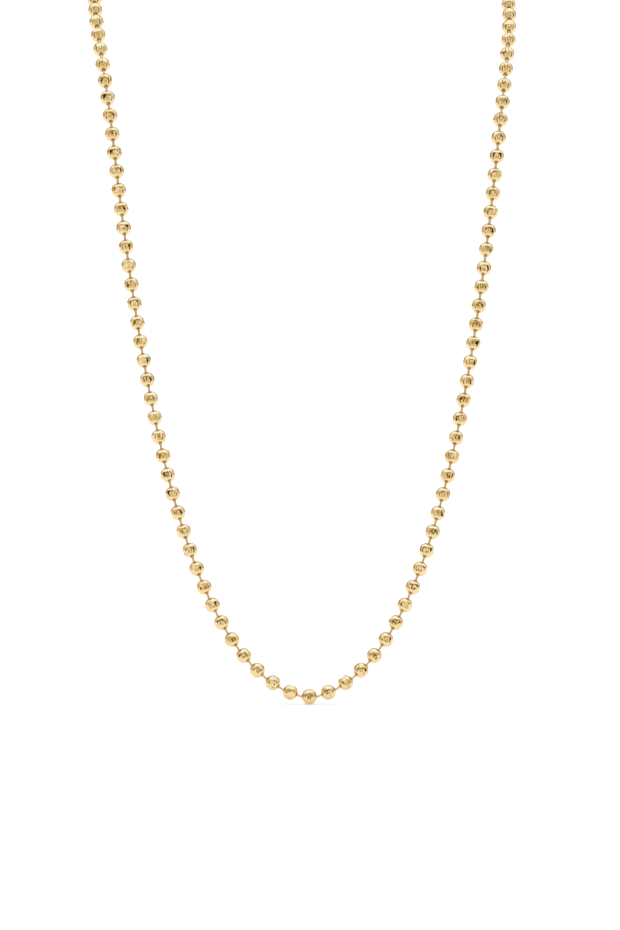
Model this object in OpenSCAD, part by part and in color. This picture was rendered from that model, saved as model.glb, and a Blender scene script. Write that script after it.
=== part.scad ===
// Ball chain necklace, hanging as it does when it is worn.
// Hollow beads with a band of cut flats are held together by double-headed
// pins, and a plain barrel clasp closes the loop at the nape.
// Units are millimetres. +Z is up and the front faces -Y. The origin is the
// point of the clasp that rests against the nape.

/* [Loop] */
// Length round the whole loop, clasp included
loop_length = 457; // [420:1:500]
// Lean of the front drape, back from upright, in degrees
drape_lean = 14; // [5:1:20]
// Radius of the lowest bend
bend_radius = 14; // [11:0.5:18]
// Length of chain that the point of the lowest bend takes up, on each side
bend_point = 1.9; // [0:0.1:3]

/* [Neck] */
// Front to back distance from the nape to the upper end of the drape
neck_depth = 60; // [52:1:68]
// Height of the nape above the upper end of the drape
neck_drop = 42; // [34:1:50]
// How strongly the chain keeps its upward way at the sides of the neck
side_rise = 44; // [36:1:52]
// How strongly the chain keeps its sideways way at the nape
nape_reach = 54; // [46:1:62]

/* [Beads] */
// Diameter of a bead
bead_d = 3; // [2.8:0.1:3.6]
// Clear gap between two beads
bead_gap = 0.85; // [0.7:0.05:1.2]
// Thickness of a bead's wall where nothing is cut off
bead_wall = 0.22; // [0.18:0.01:0.3]
// Number of flats in the cut band
flat_count = 16; // [13:1:20]
// Depth of each flat below the round surface
flat_depth = 0.09; // [0.03:0.01:0.12]

/* [Link pins] */
// Diameter of a pin's shank
pin_d = 0.5; // [0.4:0.02:0.56]
// How much wider the pin's radius is where it enters a bead
pin_flare = 0.05; // [0:0.01:0.08]
// Length of the cone outside the bead that leads up to the wider part
flare_length = 0.2; // [0.1:0.05:0.3]
// Clear ring between the pin and the edge of its hole
hole_clearance = 0.18; // [0.15:0.01:0.2]
// How much larger a pin head's radius is than the hole that it sits behind
head_catch = 0.05; // [0.04:0.01:0.08]
// Clear gap between the two heads inside a bead
head_gap = 0.15; // [0.15:0.01:0.25]

/* [Clasp] */
// Length of the barrel
clasp_length = 13; // [10:0.5:15]
// Diameter of the barrel
clasp_d = 4; // [3.4:0.1:5]
// Thickness of the barrel's wall
clasp_wall = 0.5; // [0.4:0.05:0.8]
// Radius of the rounding at the barrel's ends
clasp_round = 1; // [0.6:0.1:1.2]

/* [Hidden] */
$fn = 32;

bead_r = bead_d / 2;
clasp_r = clasp_d / 2;
pitch = bead_d + bead_gap;
hole_r = pin_d / 2 + pin_flare + hole_clearance;
head_r = hole_r + head_catch;
// From the middle of a bead or the clasp to the middle of its wall at a hole
bead_hinge = (bead_d - bead_wall) / 2;
clasp_hinge = (clasp_length - clasp_wall) / 2;
// From the middle of a bead's wall at the hole to the middle of the pin's head
head_reach = bead_hinge - head_r - head_gap / 2;
// Turn from one bead to the next, so that their flats don't line up
bead_turn = 137.5;
// Straight steps that measure the curve round the neck, and the halvings of
// a length that find where it begins
neck_steps = 48;
halvings = 24;

// Beads on each side of the lowest one, and the length that they come to
side_beads = floor((loop_length - clasp_length - 2 * bead_gap - bead_d) / (2 * pitch));
half_length = side_beads * pitch + bead_r + bead_gap + clasp_length / 2;

// The front drape is two halves of a catenary that meet in a slight point at
// the lowest bead. Its functions take the length of chain from that point.
function arcsinh(v) = ln(v + norm([v, 1]));
function drape_side(s) =
    bend_radius * (arcsinh((s + bend_point) / bend_radius) - arcsinh(bend_point / bend_radius));
function drape_rise(s) = norm([bend_radius, s + bend_point]);
function leaning(size) = size * [0, sin(drape_lean), cos(drape_lean)];
function drape_point(s, top) =
    [drape_side(s), -neck_depth, -neck_drop] + leaning(drape_rise(s) - drape_rise(top));
function drape_way(s) =
    ([bend_radius, 0, 0] + leaning(s + bend_point)) / norm([bend_radius, s + bend_point]);

// From the drape's upper end the chain takes one smooth curve to the nape
function neck_frame(top) =
    let(start = drape_point(top, top))
    [start, start + side_rise * drape_way(top), [nape_reach, 0, 0], [0, 0, 0]];
function bezier(f, t) =
    let(u = 1 - t)
    u * u * u * f[0] + 3 * u * u * t * f[1] + 3 * u * t * t * f[2] + t * t * t * f[3];
function neck_path(top) =
    let(f = neck_frame(top))
    [for (i = [0:neck_steps]) bezier(f, i / neck_steps)];
function path_length(path, last) =
    last == 0 ? 0 : path_length(path, last - 1) + norm(path[last] - path[last - 1]);

// The neck takes its share of the loop, and the front drape has the rest
function find_top(low, high, tries) =
    let(mid = (low + high) / 2)
    tries == 0 ? mid
    : mid + path_length(neck_path(mid), neck_steps) > half_length ? find_top(low, mid, tries - 1)
    : find_top(mid, high, tries - 1);
top = find_top(0, half_length, halvings);

// Chain length against share of the neck curve, to look places up in
neck_table =
    let(path = neck_path(top))
    [for (i = [0:neck_steps]) [top + path_length(path, i), i / neck_steps]];

// The route by the length of chain from the lowest point. A length below zero
// is on the left, and one past the nape comes down on the left again.
function mirrored(p) = [-p[0], p[1], p[2]];
function route(s) =
    s < 0 ? mirrored(route(-s))
    : s > half_length ? mirrored(route(2 * half_length - s))
    : s < top ? drape_point(s, top)
    : bezier(neck_frame(top), lookup(s, neck_table));

// Everything is moved so that the clasp's neck side lies at the origin
clasp_middle = (route(half_length - clasp_hinge) + route(half_length + clasp_hinge)) / 2;
shift = [0, clasp_r, 0] - clasp_middle;

// Places a child that points along Z so that it runs between two points of the
// route, centred between them
module along(from, to) {
    p1 = route(from);
    p2 = route(to);
    way = (p2 - p1) / norm(p2 - p1);
    translate((p1 + p2) / 2 + shift)
        rotate([0, acos(way[2]), atan2(way[1], way[0])])
            children();
}

// Repeats what is on the right side on the left side too
module both_sides() {
    children();
    mirror([1, 0, 0]) children();
}

// A section to turn round the Y axis, less what lies inside the holes' radius
module drilled(length) {
    intersection() {
        children();
        translate([hole_r, -length]) square([length, 2 * length]);
    }
}

// One hollow bead: a round shell with a hole at both poles and a cut band
module bead() {
    corner_r = (bead_r - flat_depth) / cos(180 / flat_count);
    intersection() {
        rotate_extrude() drilled(bead_d) difference() {
            circle(bead_r);
            circle(bead_r - bead_wall);
        }
        linear_extrude(bead_d, center = true)
            polygon([for (i = [0:flat_count - 1])
                corner_r * [cos(i * 360 / flat_count), sin(i * 360 / flat_count)]]);
    }
}

// Half the section of a link pin, from the middle of its shank to its head,
// for a wall of the given thickness
module pin_section(wall) {
    shank_r = pin_d / 2;
    wide_r = shank_r + pin_flare;
    wall_middle = (bead_gap + wall) / 2;
    head_middle = wall_middle + head_reach;
    polygon([
        [0, 0],
        [shank_r, 0],
        [shank_r, bead_gap / 2 - flare_length],
        [wide_r, bead_gap / 2],
        [wide_r, head_middle],
        [0, head_middle]
    ]);
    intersection() {
        translate([0, head_middle]) circle(head_r);
        translate([0, wall_middle]) square(2 * head_reach);
    }
}

// One double-headed pin between two walls of the given thickness
module pin(lower_wall, upper_wall) {
    rotate_extrude() union() {
        pin_section(upper_wall);
        mirror([0, 1]) pin_section(lower_wall);
    }
}

// The section of the barrel's outside, or of the hollow in it
module barrel_section(length, radius, rounding) {
    side = length / 2 - rounding;
    square([2 * radius, 2 * side], center = true);
    square([2 * (radius - rounding), length], center = true);
    for (x = [-1, 1], y = [-1, 1])
        translate([x * (radius - rounding), y * side]) circle(rounding);
}

module beads() {
    color("goldenrod") {
        along(-bead_hinge, bead_hinge) bead();
        both_sides() for (i = [1:side_beads])
            along(i * pitch - bead_hinge, i * pitch + bead_hinge) rotate(i * bead_turn) bead();
    }
}

module link_pins() {
    last_bead = side_beads * pitch;
    color("darkgoldenrod") both_sides() {
        for (i = [0:side_beads - 1])
            along(i * pitch + bead_r, (i + 1) * pitch - bead_r) pin(bead_wall, bead_wall);
        along(last_bead + bead_r, half_length - clasp_length / 2) pin(bead_wall, clasp_wall);
    }
}

// A plain closed barrel, with a hole in each end for the last pins
module clasp() {
    color("gold")
        along(half_length - clasp_hinge, half_length + clasp_hinge)
            rotate_extrude() drilled(clasp_length) difference() {
                barrel_section(clasp_length, clasp_r, clasp_round);
                barrel_section(clasp_length - 2 * clasp_wall, clasp_r - clasp_wall, clasp_round - clasp_wall);
            }
}

beads();
link_pins();
clasp();
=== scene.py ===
"""The looks of a ball chain necklace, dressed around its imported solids.

The chain hangs as it does when it is worn. Its beads, link pins and clasp are made
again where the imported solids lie, with cut flats and polished gold, and are shown over a
white floor in soft light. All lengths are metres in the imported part's frame: +Z is up and
the front faces -Y.
"""

import logging
import math
import random
from dataclasses import dataclass, field, replace
from enum import IntEnum
from typing import Iterable, Sequence

import bmesh
import bpy
import numpy as np
from mathutils import Matrix, Quaternion, Vector


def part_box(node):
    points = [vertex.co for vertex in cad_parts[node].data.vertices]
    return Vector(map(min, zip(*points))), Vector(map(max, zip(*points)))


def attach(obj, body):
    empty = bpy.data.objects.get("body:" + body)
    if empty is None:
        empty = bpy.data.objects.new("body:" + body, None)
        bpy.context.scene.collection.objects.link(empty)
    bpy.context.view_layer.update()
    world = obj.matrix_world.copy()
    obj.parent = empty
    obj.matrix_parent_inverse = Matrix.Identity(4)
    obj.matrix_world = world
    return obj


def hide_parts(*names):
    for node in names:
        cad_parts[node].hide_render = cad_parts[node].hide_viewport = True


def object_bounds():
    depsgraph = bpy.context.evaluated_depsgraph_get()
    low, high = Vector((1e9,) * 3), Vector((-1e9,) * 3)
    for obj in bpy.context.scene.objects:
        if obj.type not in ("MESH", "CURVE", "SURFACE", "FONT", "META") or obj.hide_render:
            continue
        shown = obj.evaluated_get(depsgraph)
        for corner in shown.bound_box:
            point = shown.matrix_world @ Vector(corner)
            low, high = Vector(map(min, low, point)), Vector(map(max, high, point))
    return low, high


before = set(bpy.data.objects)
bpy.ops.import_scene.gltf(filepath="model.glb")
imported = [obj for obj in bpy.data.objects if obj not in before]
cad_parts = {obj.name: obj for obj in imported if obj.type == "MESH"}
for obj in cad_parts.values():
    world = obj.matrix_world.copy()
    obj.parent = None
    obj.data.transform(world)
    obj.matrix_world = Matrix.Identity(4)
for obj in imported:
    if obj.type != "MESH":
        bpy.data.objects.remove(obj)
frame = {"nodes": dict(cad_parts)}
CAD_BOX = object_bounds()

MM = 0.001
FULL_TURN = 2 * math.pi
MERGE_DISTANCE = 1e-7
BEAD_WALL = 0.22 * MM
CLASP_WALL = 0.5 * MM
HOLE_RADIUS = 0.48 * MM
FLOOR_GAP = 0.02 * MM
log = logging.getLogger("necklace")

Colour = tuple[float, float, float]
OpaqueColour = tuple[float, float, float, float]
WHITE: Colour = (1.0, 1.0, 1.0)

# A Mix node has several sockets of one name, so those of its colours are told by their places
COLOUR_A = 6
COLOUR_B = 7
MIXED_COLOUR = 2


class Surface(IntEnum):
    """The kinds of surface that a bead's faces belong to."""

    HOLLOW = 0
    BALL = 1
    FLAT = 2


class Signal:
    """A number on a shader socket. Python's arithmetic on it adds Math nodes."""

    def __init__(self, sheet: "NodeSheet", socket: bpy.types.NodeSocket) -> None:
        """Wraps one socket of a node sheet.

        Args:
            sheet: The node sheet that the socket is on.
            socket: The output socket that holds the number.
        """
        self.sheet = sheet
        self.socket = socket

    def __add__(self, other: "Signal | float") -> "Signal":
        """Returns this number plus another."""
        return self.sheet.maths("ADD", self, other)

    def __radd__(self, other: float) -> "Signal":
        """Returns another number plus this one."""
        return self.sheet.maths("ADD", other, self)

    def __sub__(self, other: "Signal | float") -> "Signal":
        """Returns this number minus another."""
        return self.sheet.maths("SUBTRACT", self, other)

    def __rsub__(self, other: float) -> "Signal":
        """Returns another number minus this one."""
        return self.sheet.maths("SUBTRACT", other, self)

    def __mul__(self, other: "Signal | float") -> "Signal":
        """Returns this number times another."""
        return self.sheet.maths("MULTIPLY", self, other)

    def __rmul__(self, other: float) -> "Signal":
        """Returns another number times this one."""
        return self.sheet.maths("MULTIPLY", other, self)


class NodeSheet:
    """The node tree of one material or world, and the one way in which it gets its nodes."""

    def __init__(self, tree: bpy.types.NodeTree) -> None:
        """Starts from an empty tree.

        Args:
            tree: The node tree, whose first nodes are removed.
        """
        self.tree = tree
        tree.nodes.clear()

    def add(
        self,
        kind: str,
        settings: dict[str, object] | None = None,
        sockets: dict[str | int, object] | None = None,
    ) -> bpy.types.Node:
        """Adds one node.

        Args:
            kind: The node's type.
            settings: Its settings by name.
            sockets: A value, a signal or a socket for each input, by name or place.

        Returns:
            The node.
        """
        node = self.tree.nodes.new(kind)
        for name, value in (settings or {}).items():
            setattr(node, name, value)
        for name, value in (sockets or {}).items():
            if isinstance(value, Signal):
                value = value.socket
            if isinstance(value, bpy.types.NodeSocket):
                self.tree.links.new(value, node.inputs[name])
            else:
                node.inputs[name].default_value = value
        return node

    def signal(
        self,
        kind: str,
        settings: dict[str, object] | None = None,
        sockets: dict[str | int, object] | None = None,
        output: str | int = 0,
    ) -> Signal:
        """Adds one node and returns one of its outputs as a signal.

        Args:
            kind: The node's type.
            settings: As for add.
            sockets: As for add.
            output: The output's name or place.

        Returns:
            The output, ready for arithmetic.
        """
        return Signal(self, self.add(kind, settings, sockets).outputs[output])

    def maths(self, operation: str, *values: "Signal | float") -> Signal:
        """Adds one Math node.

        Args:
            operation: The Math node's operation.
            values: What goes into its sockets, in order.

        Returns:
            The node's result.
        """
        return self.signal("ShaderNodeMath", {"operation": operation}, dict(enumerate(values)))

    def attribute(self, name: str) -> Signal:
        """Adds the number that the mesh holds under a name."""
        return self.signal("ShaderNodeAttribute", {"attribute_name": name}, output="Fac")

    def fade(self, value: Signal, start: float, end: float) -> Signal:
        """Adds a number that goes smoothly from 0 at one value to 1 at another.

        Args:
            value: What the number follows.
            start: The value at which it is 0.
            end: The value at which it is 1.

        Returns:
            The number.
        """
        return self.signal(
            "ShaderNodeMapRange",
            {"interpolation_type": "SMOOTHSTEP"},
            {"Value": value, "From Min": start, "From Max": end, "To Min": 0.0, "To Max": 1.0},
        )

    def below(self, value: Signal, edge: float, softness: float) -> Signal:
        """Adds a number that is 1 below an edge and 0 above it."""
        return self.fade(value, edge + softness / 2, edge - softness / 2)

    def between(self, value: Signal, start: float, end: float, softness: float) -> Signal:
        """Adds a number that is 1 between two edges and 0 outside them."""
        return self.below(value, end, softness) * (1 - self.below(value, start, softness))

    def angle_from(self, way: bpy.types.NodeSocket, axis: Vector) -> Signal:
        """Adds the angle between a direction and an axis.

        Args:
            way: The socket that gives the direction.
            axis: The axis, of length one.

        Returns:
            The angle in radians.
        """
        share = self.signal(
            "ShaderNodeVectorMath", {"operation": "DOT_PRODUCT"}, {0: way, 1: axis}, output="Value"
        )
        return self.maths("ARCCOSINE", share)

    def mixed(
        self,
        share: Signal,
        first: OpaqueColour | bpy.types.NodeSocket,
        second: OpaqueColour | bpy.types.NodeSocket,
    ) -> bpy.types.NodeSocket:
        """Adds a mix of two colours.

        Args:
            share: How much of the second colour there is, from 0 to 1.
            first: The first colour, or the socket that gives it.
            second: The second colour, or the socket that gives it.

        Returns:
            The socket that gives the mixed colour.
        """
        mix = self.add(
            "ShaderNodeMix",
            {"data_type": "RGBA"},
            {"Factor": share, COLOUR_A: first, COLOUR_B: second},
        )
        return mix.outputs[MIXED_COLOUR]


def opaque(colour: Colour) -> OpaqueColour:
    """Returns a colour with full alpha."""
    return (*colour, 1.0)


@dataclass(frozen=True)
class PolishedGold:
    """Yellow gold with soft dents, glossier where it is cut, with painted dark reflections along the
    cuts' edges.
    """

    name: str
    light: Colour
    deep: Colour
    roughness: float = 0.12
    cut_roughness: float = 0.05
    gloss_drift: float = 0.06
    tone_share: float = 0.6
    cloud_size: float = 1.2 * MM
    # The deep brown of the painted dark reflections (slits) along the flats' side edges
    painted_slit_colour: Colour = (0.17, 0.085, 0.014)
    painted_slit_start: float = 0.52
    painted_slit_full: float = 0.84
    noise_detail: float = 1.0
    noise_middle: float = 0.5
    dent_size: float = 1.1 * MM
    dent_height: float = 0.09 * MM
    ripple_size: float = 0.35 * MM
    ripple_height: float = 0.002 * MM
    cut_ripple: float = 0.006 * MM

    def material(self) -> bpy.types.Material:
        """Makes the material.

        Returns:
            A metal whose tone and gloss drift a little over the surface and from bead to bead.
        """
        made = bpy.data.materials.new(self.name)
        made.use_nodes = True
        sheet = NodeSheet(made.node_tree)
        place = sheet.add("ShaderNodeTexCoord").outputs["Object"]
        cut = sheet.attribute("cut")
        cloud = self.noise(sheet, place, self.cloud_size)
        dents = self.noise(sheet, place, self.dent_size) * self.dent_height
        ripple_height = self.ripple_height + cut * (self.cut_ripple - self.ripple_height)
        relief = dents + self.noise(sheet, place, self.ripple_size) * ripple_height
        drift = sheet.attribute("tone") * self.tone_share + cloud * (1 - self.tone_share)
        gold = sheet.mixed(drift, opaque(self.light), opaque(self.deep))
        # Painted dark reflections: the base colour turns deep brown near the flats' side edges
        painted_slit = sheet.fade(sheet.attribute("painted_slit_edge"), self.painted_slit_start, self.painted_slit_full)
        gloss = self.roughness + (cloud - self.noise_middle) * self.gloss_drift
        gloss = gloss + cut * (self.cut_roughness - self.roughness)
        # The relief is in metres already, so the node neither weakens nor scales it
        bump = sheet.add("ShaderNodeBump", None, {"Strength": 1.0, "Distance": 1.0, "Height": relief})
        metal = sheet.add(
            "ShaderNodeBsdfPrincipled",
            None,
            {
                "Base Color": sheet.mixed(painted_slit, gold, opaque(self.painted_slit_colour)),
                "Roughness": gloss,
                "Metallic": 1.0,
                "Normal": bump.outputs["Normal"],
            },
        )
        sheet.add("ShaderNodeOutputMaterial", None, {"Surface": metal.outputs["BSDF"]})
        return made

    def noise(self, sheet: NodeSheet, place: bpy.types.NodeSocket, size: float) -> Signal:
        """Adds a soft noise.

        Args:
            sheet: The material's node sheet.
            place: The socket that gives the place on the object.
            size: About how large the noise's patches are.

        Returns:
            The noise, from 0 to 1.
        """
        return sheet.signal(
            "ShaderNodeTexNoise",
            None,
            {"Vector": place, "Scale": 1 / size, "Detail": self.noise_detail},
        )


@dataclass(frozen=True)
class MattWhite:
    """A matt white with a faint light of its own."""

    name: str
    tone: float = 0.86
    glow: float = 0.36
    roughness: float = 0.7

    def material(self) -> bpy.types.Material:
        """Makes the material.

        Returns:
            The matt white.
        """
        made = bpy.data.materials.new(self.name)
        made.use_nodes = True
        sheet = NodeSheet(made.node_tree)
        matt = sheet.add(
            "ShaderNodeBsdfPrincipled",
            None,
            {
                "Base Color": (self.tone, self.tone, self.tone, 1.0),
                "Roughness": self.roughness,
                "Emission Color": opaque(WHITE),
                "Emission Strength": self.glow,
            },
        )
        sheet.add("ShaderNodeOutputMaterial", None, {"Surface": matt.outputs["BSDF"]})
        return made


BEAD_GOLD = PolishedGold("bead_gold", light=(0.82, 0.63, 0.34), deep=(0.79, 0.58, 0.28))
PIN_GOLD = PolishedGold("pin_gold", light=(0.75, 0.56, 0.30), deep=(0.69, 0.50, 0.25), roughness=0.3)
CLASP_GOLD = replace(BEAD_GOLD, name="clasp_gold", dent_height=0.02 * MM)
FLOOR_WHITE = MattWhite("white_floor")


@dataclass(frozen=True)
class Seat:
    """Where one solid of the chain sits, and the way its axis runs."""

    centre: Vector
    axis: Vector

    def placing(self, spin: float = 0.0) -> Matrix:
        """Finds how a solid made along Z is put here.

        Args:
            spin: How far it is turned on its own axis first.

        Returns:
            The matrix that places it.
        """
        turn = self.axis.to_track_quat("Z", "Y") @ Quaternion((0, 0, 1), spin)
        return Matrix.Translation(self.centre) @ turn.to_matrix().to_4x4()

    def ahead(self, distance: float) -> Vector:
        """Returns the point on the axis at a distance past the centre."""
        return self.centre + self.axis * distance

    @classmethod
    def between(cls, start: Vector, end: Vector) -> "Seat":
        """Returns the seat of a solid that runs from one point to another."""
        return cls((start + end) / 2, (end - start).normalized())


@dataclass
class PackedChain:
    """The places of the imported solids, read from the frame."""

    bead_seats: list[Seat]
    bead_radius: float
    clasp_seat: Seat
    clasp_length: float
    clasp_radius: float

    @classmethod
    def read(cls, nodes: dict[str, bpy.types.Object]) -> "PackedChain":
        """Finds the beads in their order round the loop, and the clasp.

        Args:
            nodes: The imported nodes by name.

        Returns:
            The chain, from the clasp's left end round to its right end.
        """
        clasp_low, clasp_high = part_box("clasp")
        clasp_size = clasp_high - clasp_low
        clasp_seat = Seat((clasp_low + clasp_high) / 2, Vector((1, 0, 0)))
        boxes = cls.loose_boxes(nodes["beads"])
        centres = [(low + high) / 2 for low, high in boxes]
        tip = clasp_size.x / 2
        ordered = cls.walk(clasp_seat.ahead(-tip), centres)
        ends = [clasp_seat.ahead(-tip), *ordered, clasp_seat.ahead(tip)]
        seats = [
            Seat(here, (after - before).normalized())
            for before, here, after in zip(ends, ordered, ends[2:])
        ]
        widest = max(max(high - low) for low, high in boxes)
        return cls(seats, widest / 2, clasp_seat, clasp_size.x, clasp_size.z / 2)

    @staticmethod
    def loose_boxes(node: bpy.types.Object) -> list[tuple[Vector, Vector]]:
        """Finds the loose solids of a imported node.

        Args:
            node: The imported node, which is left as it is.

        Returns:
            The lowest and the highest corner of each solid.
        """
        copy = bmesh.new()
        copy.from_mesh(node.data)
        bmesh.ops.remove_doubles(copy, verts=copy.verts, dist=MERGE_DISTANCE)
        waiting = set(copy.verts)
        boxes = []
        while waiting:
            found = [waiting.pop()]
            for vertex in found:
                near = {edge.other_vert(vertex) for edge in vertex.link_edges} & waiting
                waiting -= near
                found.extend(near)
            places = np.array([vertex.co for vertex in found])
            boxes.append((Vector(places.min(0)), Vector(places.max(0))))
        copy.free()
        return boxes

    @staticmethod
    def walk(start: Vector, places: Iterable[Vector]) -> list[Vector]:
        """Orders places along the chain, each one the nearest to the one before.

        Args:
            start: Where the chain starts.
            places: The places in any order.

        Returns:
            The places in their order along the chain.
        """
        waiting = list(places)
        ordered = []
        here = start
        while waiting:
            here = min(waiting, key=lambda place: (place - here).length)
            waiting.remove(here)
            ordered.append(here)
        return ordered


class JoinedMesh:
    """A piece that is joined from many small solids."""

    def __init__(self) -> None:
        """Starts with no solids."""
        self.whole = bmesh.new()

    def put(self, solid: bmesh.types.BMesh, placing: Matrix) -> None:
        """Adds one solid and frees it.

        Args:
            solid: The solid, made at the origin.
            placing: The matrix that puts it in its place.
        """
        bmesh.ops.transform(solid, matrix=placing, verts=solid.verts)
        carrier = bpy.data.meshes.new("carrier")
        solid.to_mesh(carrier)
        self.whole.from_mesh(carrier)
        bpy.data.meshes.remove(carrier)
        solid.free()

    def finish(self, name: str, finish: bpy.types.Material) -> bpy.types.Object:
        """Turns the joined solids into one shown object.

        Args:
            name: The piece's name.
            finish: Its material.

        Returns:
            The object, at the origin with its place in its mesh.
        """
        mesh = bpy.data.meshes.new(name)
        self.whole.to_mesh(mesh)
        self.whole.free()
        mesh.materials.append(finish)
        mesh.shade_smooth()
        piece = bpy.data.objects.new(name, mesh)
        bpy.context.scene.collection.objects.link(piece)
        return piece


def turned_section(corners: Sequence[Vector], steps: int, closed: bool) -> bmesh.types.BMesh:
    """Turns a section round the Z axis.

    Args:
        corners: The section's points in the XZ plane, in order.
        steps: The number of sides of the turned solid.
        closed: Whether the last point is joined to the first.

    Returns:
        The solid, with its doubles merged and its faces outwards.
    """
    solid = bmesh.new()
    points = [solid.verts.new(corner) for corner in corners]
    for start, end in zip(points, points[1:] + points[:1] if closed else points[1:]):
        solid.edges.new((start, end))
    bmesh.ops.spin(
        solid,
        geom=[*solid.verts, *solid.edges],
        cent=(0, 0, 0),
        axis=(0, 0, 1),
        angle=FULL_TURN,
        steps=steps,
        use_merge=True,
    )
    bmesh.ops.remove_doubles(solid, verts=solid.verts, dist=MERGE_DISTANCE)
    bmesh.ops.recalc_face_normals(solid, faces=solid.faces)
    return solid


def arc(radius: float, start: float, end: float, steps: int, height: float = 0.0) -> list[Vector]:
    """Lays points along an arc about a point of the Z axis.

    Args:
        radius: The arc's radius.
        start: The angle from +Z at which it starts.
        end: The angle from +Z at which it ends.
        steps: The number of straight steps.
        height: The middle's height.

    Returns:
        The points in the XZ plane, both ends included.
    """
    angles = [start + (end - start) * i / steps for i in range(steps + 1)]
    return [Vector((radius * math.sin(a), 0, height + radius * math.cos(a))) for a in angles]


@dataclass
class BeadString:
    """The string of beads: hollow balls, each with a hole at both poles and a band of flats."""

    seats: list[Seat]
    radius: float
    wall: float = BEAD_WALL
    hole_radius: float = HOLE_RADIUS
    sides: int = 32
    ball_steps: int = 16
    hollow_steps: int = 4
    flat_count: int = 16
    flat_depth: float = 0.09 * MM
    flat_rise: float = 0.008 * MM
    depth_spread: float = 0.02 * MM
    angle_spread: float = math.radians(3.5)
    tilt_spread: float = math.radians(8)
    band_wobble: float = math.radians(9)
    least_crown: float = 0.25
    most_crown: float = 0.6
    bow_spread: float = 0.12
    most_bow: float = 0.5
    seed: int = 7
    seed_step: int = 1000
    inner_radius: float = field(init=False)

    def __post_init__(self) -> None:
        """Works out the radius of the hollow."""
        self.inner_radius = self.radius - self.wall

    def build(self, finish: bpy.types.Material) -> bpy.types.Object:
        """Makes all beads as one piece.

        Args:
            finish: The beads' material.

        Returns:
            The piece, with the normals of true balls and flats.
        """
        joined = JoinedMesh()
        for number, seat in enumerate(self.seats):
            chance = random.Random(self.seed * self.seed_step + number)
            joined.put(self.bead(number, chance), seat.placing(chance.uniform(0, FULL_TURN)))
        piece = joined.finish("bead_string", finish)
        self.polish(piece.data)
        return piece

    def bead(self, number: int, chance: random.Random) -> bmesh.types.BMesh:
        """Makes one bead at the origin, with its holes along Z.

        Args:
            number: The bead's place in the string.
            chance: The source of its tone and of the small errors of its cuts.

        Returns:
            The bead.
        """
        bead = self.shell()
        self.mark(bead, number, chance.random())
        wobble = Quaternion((1, 0, 0), chance.uniform(-1, 1) * self.band_wobble)
        bow = chance.uniform(0, self.most_bow)
        for i in range(self.flat_count):
            self.cut_flat(bead, i * FULL_TURN / self.flat_count, wobble, bow, chance)
        surface_layer = bead.faces.layers.int["surface"]
        flats = [face for face in bead.faces if face[surface_layer] == Surface.FLAT]
        bmesh.ops.poke(bead, faces=flats, offset=self.flat_rise)
        bmesh.ops.recalc_face_normals(bead, faces=bead.faces)
        return bead

    def shell(self) -> bmesh.types.BMesh:
        """Makes the round hollow ball with its two holes, before it is cut.

        Returns:
            The ball, at the origin with its holes along Z.
        """
        outer_lip = math.asin(self.hole_radius / self.radius)
        inner_lip = math.asin(self.hole_radius / self.inner_radius)
        outside = arc(self.radius, outer_lip, math.pi - outer_lip, self.ball_steps)
        inside = arc(self.inner_radius, math.pi - inner_lip, inner_lip, self.hollow_steps)
        return turned_section(outside + inside, self.sides, closed=True)

    def mark(self, bead: bmesh.types.BMesh, number: int, tone: float) -> None:
        """Writes on each face which bead it is part of and what kind of surface it is.

        Args:
            bead: The round shell.
            number: The bead's place in the string.
            tone: How far the bead's gold is from the lightest tone, from 0 to 1.
        """
        layers = bead.faces.layers
        bead_layer = layers.int.new("bead")
        surface_layer = layers.int.new("surface")
        tone_layer = layers.float.new("tone")
        layers.float.new("cut")
        layers.float.new("crown")
        layers.float.new("bow")
        layers.float.new("painted_slit")
        middle_radius = (self.radius + self.inner_radius) / 2
        for face in bead.faces:
            on_ball = all(vertex.co.length > middle_radius for vertex in face.verts)
            face[bead_layer] = number
            face[surface_layer] = Surface.BALL if on_ball else Surface.HOLLOW
            face[tone_layer] = tone

    def cut_flat(
        self, bead: bmesh.types.BMesh, angle: float, wobble: Quaternion, bow: float, chance: random.Random
    ) -> None:
        """Cuts one flat into the bead's waist.

        Args:
            bead: The bead.
            angle: The flat's nominal angle round the bead.
            wobble: The turn by which the whole band is askew.
            bow: How much the bead's flats are rounded from side to side.
            chance: The source of the small errors of the cut.
        """
        turn = angle + chance.uniform(-1, 1) * self.angle_spread
        tilt = chance.uniform(-1, 1) * self.tilt_spread
        level = math.cos(tilt)
        way = wobble @ Vector((math.cos(turn) * level, math.sin(turn) * level, math.sin(tilt)))
        depth = self.flat_depth + chance.uniform(-1, 1) * self.depth_spread
        crown = chance.uniform(self.least_crown, self.most_crown)
        own_bow = bow + chance.uniform(-1, 1) * self.bow_spread
        # How strongly this flat shows its painted dark reflection along its edges
        painted_slit = chance.random()
        first = next(iter(bead.faces))
        tone = first[bead.faces.layers.float["tone"]]
        number = first[bead.faces.layers.int["bead"]]
        cut = bmesh.ops.bisect_plane(
            bead,
            geom=[*bead.verts, *bead.edges, *bead.faces],
            plane_co=way * (self.radius - depth),
            plane_no=way,
            clear_outer=True,
        )
        rim = [part for part in cut["geom_cut"] if isinstance(part, bmesh.types.BMEdge)]
        flats = bmesh.ops.edgeloop_fill(bead, edges=rim)["faces"]
        layers = bead.faces.layers
        for face in flats:
            face[layers.int["bead"]] = number
            face[layers.int["surface"]] = Surface.FLAT
            face[layers.float["tone"]] = tone
            face[layers.float["cut"]] = 1.0
            face[layers.float["crown"]] = crown
            face[layers.float["bow"]] = own_bow
            face[layers.float["painted_slit"]] = painted_slit

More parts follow.
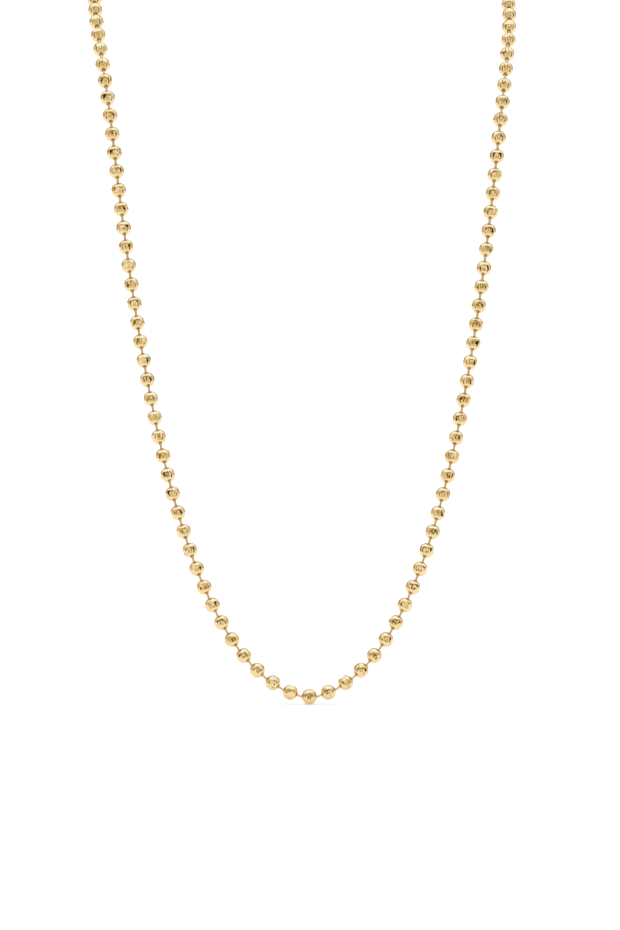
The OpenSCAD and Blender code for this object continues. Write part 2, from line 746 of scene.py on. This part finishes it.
    def polish(self, mesh: bpy.types.Mesh) -> None:
        """Gives the faces the normals of the surface that they stand for.

        A ball's corners get the ball's own normals. A flat's corners lean towards them, by
        the flat's crown along the bead's axis and by its bow across it. The hollow keeps
        the normals of its faces. Each corner of a flat is also given how strongly the
        flat's painted dark reflection shows there, most towards its side edges.

        Args:
            mesh: The joined beads.
        """
        corners = np.zeros(len(mesh.loops), int)
        mesh.loops.foreach_get("vertex_index", corners)
        totals = np.zeros(len(mesh.polygons), int)
        mesh.polygons.foreach_get("loop_total", totals)
        points = self.vectors(mesh.vertices, "co")[corners]
        faces = np.repeat(np.arange(len(totals)), totals)
        face_normals = self.vectors(mesh.polygons, "normal")[faces]
        bead, surface = (self.values(mesh, name, int)[faces] for name in ("bead", "surface"))
        crown, bow, painted_slit = (self.values(mesh, name, float)[faces] for name in ("crown", "bow", "painted_slit"))
        centres = np.array([seat.centre for seat in self.seats])[bead]
        axes = np.array([seat.axis for seat in self.seats])[bead]
        away = points - centres
        away /= np.linalg.norm(away, axis=1)[:, None]
        lean = away - face_normals
        along = axes * (lean * axes).sum(1)[:, None]
        across = lean - along
        flat_normals = face_normals + along * crown[:, None] + across * bow[:, None]
        edge = np.linalg.norm(across, axis=1) / math.sin(math.pi / self.flat_count)
        # Painted dark reflections: strongest at each flat's side edges, scaled by the flat's own strength
        self.write_corners(mesh, "painted_slit_edge", np.where(surface == Surface.FLAT, edge * painted_slit, 0))
        normals = np.where((surface == Surface.FLAT)[:, None], flat_normals, away)
        normals[surface == Surface.HOLLOW] = 0
        lengths = np.linalg.norm(normals, axis=1)[:, None]
        normals = np.divide(normals, lengths, out=np.zeros_like(normals), where=lengths > 0)
        mesh.normals_split_custom_set(normals)

    @staticmethod
    def write_corners(mesh: bpy.types.Mesh, name: str, values: np.ndarray) -> None:
        """Writes a number on each corner of each face.

        Args:
            mesh: The joined beads.
            name: The attribute's name.
            values: The numbers, in the order of the corners.
        """
        attribute = mesh.attributes.new(name, "FLOAT", "CORNER")
        attribute.data.foreach_set("value", values.astype(np.float32))

    @staticmethod
    def vectors(parts: bpy.types.bpy_prop_collection, name: str) -> np.ndarray:
        """Reads a vector of each vertex or face.

        Args:
            parts: The mesh's vertices or faces.
            name: The vector's name.

        Returns:
            One row for each vertex or face.
        """
        flat = np.zeros(len(parts) * 3)
        parts.foreach_get(name, flat)
        return flat.reshape(-1, 3)

    @staticmethod
    def values(mesh: bpy.types.Mesh, name: str, kind: type) -> np.ndarray:
        """Reads a number that was written on each face.

        Args:
            mesh: The joined beads.
            name: The attribute's name.
            kind: The number's type.

        Returns:
            The numbers, in the order of the faces.
        """
        found = np.zeros(len(mesh.polygons), kind)
        mesh.attributes[name].data.foreach_get("value", found)
        return found


@dataclass
class PinThread:
    """The thread: one double-headed pin in each gap between two beads or at the clasp."""

    chain: PackedChain
    bead_wall: float = BEAD_WALL
    clasp_wall: float = CLASP_WALL
    shank_radius: float = 0.25 * MM
    wide_radius: float = 0.30 * MM
    head_radius: float = 0.53 * MM
    flare_length: float = 0.20 * MM
    head_reach: float = 0.785 * MM
    head_steps: int = 4
    sides: int = 12

    def build(self, finish: bpy.types.Material) -> bpy.types.Object:
        """Makes all pins as one piece.

        Args:
            finish: The pins' material.

        Returns:
            The piece.
        """
        joined = JoinedMesh()
        gaps = list(self.gaps())
        walls = [self.clasp_wall, *[self.bead_wall] * (len(gaps) - 1), self.clasp_wall]
        for (seat, gap), lower_wall, upper_wall in zip(gaps, walls, walls[1:]):
            joined.put(self.pin(gap, lower_wall, upper_wall), seat.placing())
        return joined.finish("pin_thread", finish)

    def gaps(self) -> Iterable[tuple[Seat, float]]:
        """Finds the gaps that the pins bridge, in their order round the loop.

        Yields:
            The seat of each pin, with the clear length of its gap.
        """
        chain = self.chain
        bead = chain.bead_radius
        tip = chain.clasp_length / 2
        starts = [chain.clasp_seat.ahead(-tip), *(seat.ahead(bead) for seat in chain.bead_seats)]
        ends = [*(seat.ahead(-bead) for seat in chain.bead_seats), chain.clasp_seat.ahead(tip)]
        for start, end in zip(starts, ends):
            yield Seat.between(start, end), (end - start).length

    def pin(self, gap: float, lower_wall: float, upper_wall: float) -> bmesh.types.BMesh:
        """Makes one pin at the origin, along Z.

        Args:
            gap: The clear length between the two walls that it joins.
            lower_wall: The thickness of the wall at its lower end.
            upper_wall: The thickness of the wall at its upper end.

        Returns:
            The pin.
        """
        upper = self.half(gap / 2, upper_wall)
        lower = [Vector((point.x, 0, -point.z)) for point in reversed(self.half(gap / 2, lower_wall))]
        return turned_section(upper + lower, self.sides, closed=False)

    def half(self, wall_start: float, wall: float) -> list[Vector]:
        """Lays half a pin's section.

        Args:
            wall_start: How far the wall's outside is from the pin's middle.
            wall: The wall's thickness.

        Returns:
            The points from the head's tip to the shank.
        """
        meets = math.pi - math.asin(self.wide_radius / self.head_radius)
        return [
            *arc(self.head_radius, 0, meets, self.head_steps, wall_start + wall / 2 + self.head_reach),
            Vector((self.wide_radius, 0, wall_start)),
            Vector((self.shank_radius, 0, wall_start - self.flare_length)),
        ]


@dataclass
class BarrelClasp:
    """The plain closed barrel at the nape, with a hole in each end."""

    seat: Seat
    length: float
    radius: float
    wall: float = CLASP_WALL
    rounding: float = 1.0 * MM
    hole_radius: float = HOLE_RADIUS
    corner_segments: int = 6
    sides: int = 48

    def build(self, finish: bpy.types.Material) -> bpy.types.Object:
        """Makes the barrel.

        Args:
            finish: Its material.

        Returns:
            The piece.
        """
        joined = JoinedMesh()
        joined.put(self.barrel(), self.seat.placing())
        return joined.finish("barrel_clasp", finish)

    def barrel(self) -> bmesh.types.BMesh:
        """Makes the hollow barrel.

        Returns:
            The barrel, at the origin along Z.
        """
        tip = self.length / 2
        hollow_tip = tip - self.wall
        hollow = self.radius - self.wall
        section = [
            (self.hole_radius, tip),
            *self.corner(self.radius, tip, self.rounding, 1),
            *self.corner(self.radius, tip, self.rounding, -1),
            (self.hole_radius, -tip),
            (self.hole_radius, -hollow_tip),
            *self.corner(hollow, hollow_tip, self.rounding - self.wall, -1)[::-1],
            *self.corner(hollow, hollow_tip, self.rounding - self.wall, 1)[::-1],
            (self.hole_radius, hollow_tip),
        ]
        return turned_section([Vector((x, 0, z)) for x, z in section], self.sides, closed=True)

    def corner(self, radius: float, tip: float, rounding: float, side: int) -> list[tuple[float, float]]:
        """Lays the rounded corner of a barrel's section.

        Args:
            radius: The barrel's radius.
            tip: Half the barrel's length.
            rounding: The corner's radius.
            side: 1 for the upper end, -1 for the lower one.

        Returns:
            The corner's points, from the upper end to the lower one.
        """
        turns = [i / self.corner_segments * math.pi / 2 for i in range(self.corner_segments + 1)]
        if side < 0:
            turns.reverse()
        return [
            (radius - rounding + rounding * math.sin(t), side * (tip - rounding + rounding * math.cos(t)))
            for t in turns
        ]


@dataclass(frozen=True)
class PhotoCamera:
    """The camera, at the photograph's angle and distance."""

    distance: float = 520 * MM
    azimuth: float = math.radians(-3.18)
    elevation: float = math.radians(5.22)
    roll: float = math.radians(0.455)
    focal_length_mm: float = 103.02
    drape_lean: float = math.radians(14)
    aim_up: float = 45.18 * MM
    aim_right: float = 0.38 * MM
    nearest: float = 10 * MM
    farthest: float = 20.0

    def place(self, lowest_bead: Vector) -> None:
        """Makes the camera and gives it to the scene.

        Args:
            lowest_bead: The middle of the lowest bead, which it is aimed from.
        """
        up = Vector((0, math.sin(self.drape_lean), math.cos(self.drape_lean)))
        aim = lowest_bead + Vector((self.aim_right, 0, 0)) + up * self.aim_up
        level = math.cos(self.elevation)
        back = Vector(
            (math.sin(self.azimuth) * level, -math.cos(self.azimuth) * level, math.sin(self.elevation))
        )
        data = bpy.data.cameras.new("photo_camera")
        data.lens = self.focal_length_mm
        data.clip_start = self.nearest
        data.clip_end = self.farthest
        camera = bpy.data.objects.new("photo_camera", data)
        camera.location = aim + back * self.distance
        camera.rotation_mode = "QUATERNION"
        camera.rotation_quaternion = back.to_track_quat("Z", "Y") @ Quaternion((0, 0, 1), self.roll)
        bpy.context.scene.collection.objects.link(camera)
        bpy.context.scene.camera = camera


@dataclass
class Studio:
    """The white floor, and the soft light of a white room with darker things in front.

    In front there are a bright panel on each side, a dark strip beyond it, a brown seam
    above, and a dark ring round a bright centre. Behind, a dim surround frames the white
    backdrop. Each light is a share of plain white.

    The angles of the ceiling, the low light, the tops and the front's bottom run up from
    the horizon. Those of the front, the panels and the strips run to each side from
    straight in front of the necklace. The seam's run out from straight in front, the
    backdrop's and the surround's from straight behind, and the ring's and the centre's
    from the centre's own middle.
    """

    floor_height: float
    floor_size: float = 3.0
    floor_front: float = -112 * MM
    ceiling_light: float = 1.45
    side_light: float = 0.74
    side_lean: float = 0.06
    low_light: float = 1.2
    backdrop_light: float = 1.15
    surround_light: float = 0.32
    front_light: float = 0.8
    panel_light: float = 1.2
    seam_light: float = 0.3
    strip_light: float = 0.03
    centre_light: float = 1.0
    ring_light: float = 0.32
    ceiling_start: float = math.radians(20)
    ceiling_full: float = math.radians(50)
    backdrop_edge: float = math.radians(20)
    surround_edge: float = math.radians(44)
    front_edge: float = math.radians(78)
    front_top: float = math.radians(53)
    front_bottom: float = math.radians(-38)
    low_start: float = 0.0
    low_full: float = math.radians(-20)
    panel_start: float = math.radians(37)
    panel_end: float = math.radians(50)
    panel_top: float = math.radians(36)
    seam_start: float = math.radians(55)
    seam_end: float = math.radians(63)
    strip_start: float = math.radians(53)
    strip_end: float = math.radians(67)
    strip_top: float = math.radians(38)
    centre_height: float = math.radians(23)
    centre_edge: float = math.radians(18)
    ring_edge: float = math.radians(28)
    sharp: float = math.radians(3)
    soft: float = math.radians(10)
    coolest_light: float = 1.5
    cool: Colour = (0.84, 1.0, 1.35)
    warm: Colour = (1.33, 1.0, 0.27)

    def build(self) -> None:
        """Sets up the light and the floor."""
        self.set_view()
        self.light_room()
        self.lay_floor()

    def set_view(self) -> None:
        """Keeps white as white."""
        settings = bpy.context.scene.view_settings
        settings.view_transform = "Standard"
        settings.look = "None"

    def light_room(self) -> None:
        """Fills the room with light, which the camera itself sees as plain white."""
        world = bpy.data.worlds.new("white_room")
        world.use_nodes = True
        sheet = NodeSheet(world.node_tree)
        way = sheet.add("ShaderNodeTexCoord").outputs["Generated"]
        room = self.room_light(sheet, way)
        coolness = room * (1 / self.coolest_light)
        tint = sheet.mixed(coolness, opaque(self.warm), opaque(self.cool))
        glow = sheet.add("ShaderNodeBackground", None, {"Color": tint, "Strength": room})
        white = sheet.add(
            "ShaderNodeBackground", None, {"Color": opaque(WHITE), "Strength": self.backdrop_light}
        )
        seen = sheet.add("ShaderNodeLightPath").outputs["Is Camera Ray"]
        shown = sheet.add("ShaderNodeMixShader", None, {0: seen, 1: glow.outputs[0], 2: white.outputs[0]})
        sheet.add("ShaderNodeOutputWorld", None, {"Surface": shown.outputs[0]})
        bpy.context.scene.world = world

    def room_light(self, sheet: NodeSheet, way: bpy.types.NodeSocket) -> Signal:
        """Works out how bright the room is in each direction.

        Args:
            sheet: The world's node sheet.
            way: The socket that gives the direction.

        Returns:
            The brightness, as a share of plain white.
        """
        parts = sheet.add("ShaderNodeSeparateXYZ", None, {0: way}).outputs
        across, back, up = (Signal(sheet, parts[name]) for name in "XYZ")
        side = sheet.maths("ABSOLUTE", sheet.maths("ARCTAN2", across, 0 - back))
        height = sheet.maths("ARCSINE", up)
        behind = sheet.angle_from(way, Vector((0, 1, 0)))
        from_front = sheet.angle_from(way, Vector((0, -1, 0)))
        centre = Vector((0, -math.cos(self.centre_height), math.sin(self.centre_height)))
        from_centre = sheet.angle_from(way, centre)
        front = sheet.below(side, self.front_edge, self.soft)
        front = front * sheet.between(height, self.front_bottom, self.front_top, self.soft)
        panel = sheet.between(side, self.panel_start, self.panel_end, self.sharp)
        panel = panel * sheet.between(height, self.front_bottom, self.panel_top, self.soft)
        seam = sheet.between(from_front, self.seam_start, self.seam_end, self.sharp)
        seam = seam * (1 - sheet.below(height, self.strip_top, self.soft))
        strip = sheet.between(side, self.strip_start, self.strip_end, self.sharp)
        strip = strip * sheet.between(height, self.front_bottom, self.strip_top, self.soft)
        patches = (
            (sheet.fade(height, self.ceiling_start, self.ceiling_full), self.ceiling_light),
            (sheet.fade(height, self.low_start, self.low_full), self.low_light),
            (sheet.below(behind, self.surround_edge, self.soft), self.surround_light),
            (sheet.below(behind, self.backdrop_edge, self.soft), self.backdrop_light),
            (front, self.front_light),
            (panel, self.panel_light),
            (seam, self.seam_light),
            (strip, self.strip_light),
            (sheet.below(from_centre, self.ring_edge, self.sharp), self.ring_light),
            (sheet.below(from_centre, self.centre_edge, self.sharp), self.centre_light),
        )
        room = self.side_light + self.side_lean * across
        for mask, light in patches:
            room = room + mask * (light - room)
        return room

    def lay_floor(self) -> None:
        """Lays the floor just under the lowest bead, with its front edge close in front."""
        sheet = bmesh.new()
        bmesh.ops.create_grid(sheet, x_segments=1, y_segments=1, size=self.floor_size / 2)
        middle = (0, self.floor_front + self.floor_size / 2, self.floor_height)
        bmesh.ops.translate(sheet, vec=middle, verts=sheet.verts)
        mesh = bpy.data.meshes.new(FLOOR_WHITE.name)
        sheet.to_mesh(mesh)
        sheet.free()
        mesh.materials.append(FLOOR_WHITE.material())
        floor = bpy.data.objects.new(FLOOR_WHITE.name, mesh)
        bpy.context.scene.collection.objects.link(floor)


def dress(piece: bpy.types.Object, node: str, slot: str) -> None:
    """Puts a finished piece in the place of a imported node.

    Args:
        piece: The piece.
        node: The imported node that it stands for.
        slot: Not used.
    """
    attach(piece, "root")
    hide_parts(node)
    piece.data.calc_loop_triangles()
    log.info("%s stands for %s: %d triangles", piece.name, node, len(piece.data.loop_triangles))


def main() -> None:
    """Builds the necklace's pieces and the set around them."""
    logging.basicConfig(level=logging.INFO, format="%(name)s: %(message)s")
    chain = PackedChain.read(frame["nodes"])
    log.info("%d beads of radius %.3f mm", len(chain.bead_seats), chain.bead_radius / MM)
    lowest = min((seat.centre for seat in chain.bead_seats), key=lambda centre: centre.z)
    PhotoCamera().place(lowest)
    Studio(floor_height=CAD_BOX[0].z - FLOOR_GAP).build()
    beads = BeadString(chain.bead_seats, chain.bead_radius)
    pins = PinThread(chain)
    clasp = BarrelClasp(chain.clasp_seat, chain.clasp_length, chain.clasp_radius)
    dress(beads.build(BEAD_GOLD.material()), "beads", BEAD_GOLD.name)
    dress(pins.build(PIN_GOLD.material()), "link_pins", PIN_GOLD.name)
    dress(clasp.build(CLASP_GOLD.material()), "clasp", CLASP_GOLD.name)


if __name__ == "__main__":
    main()
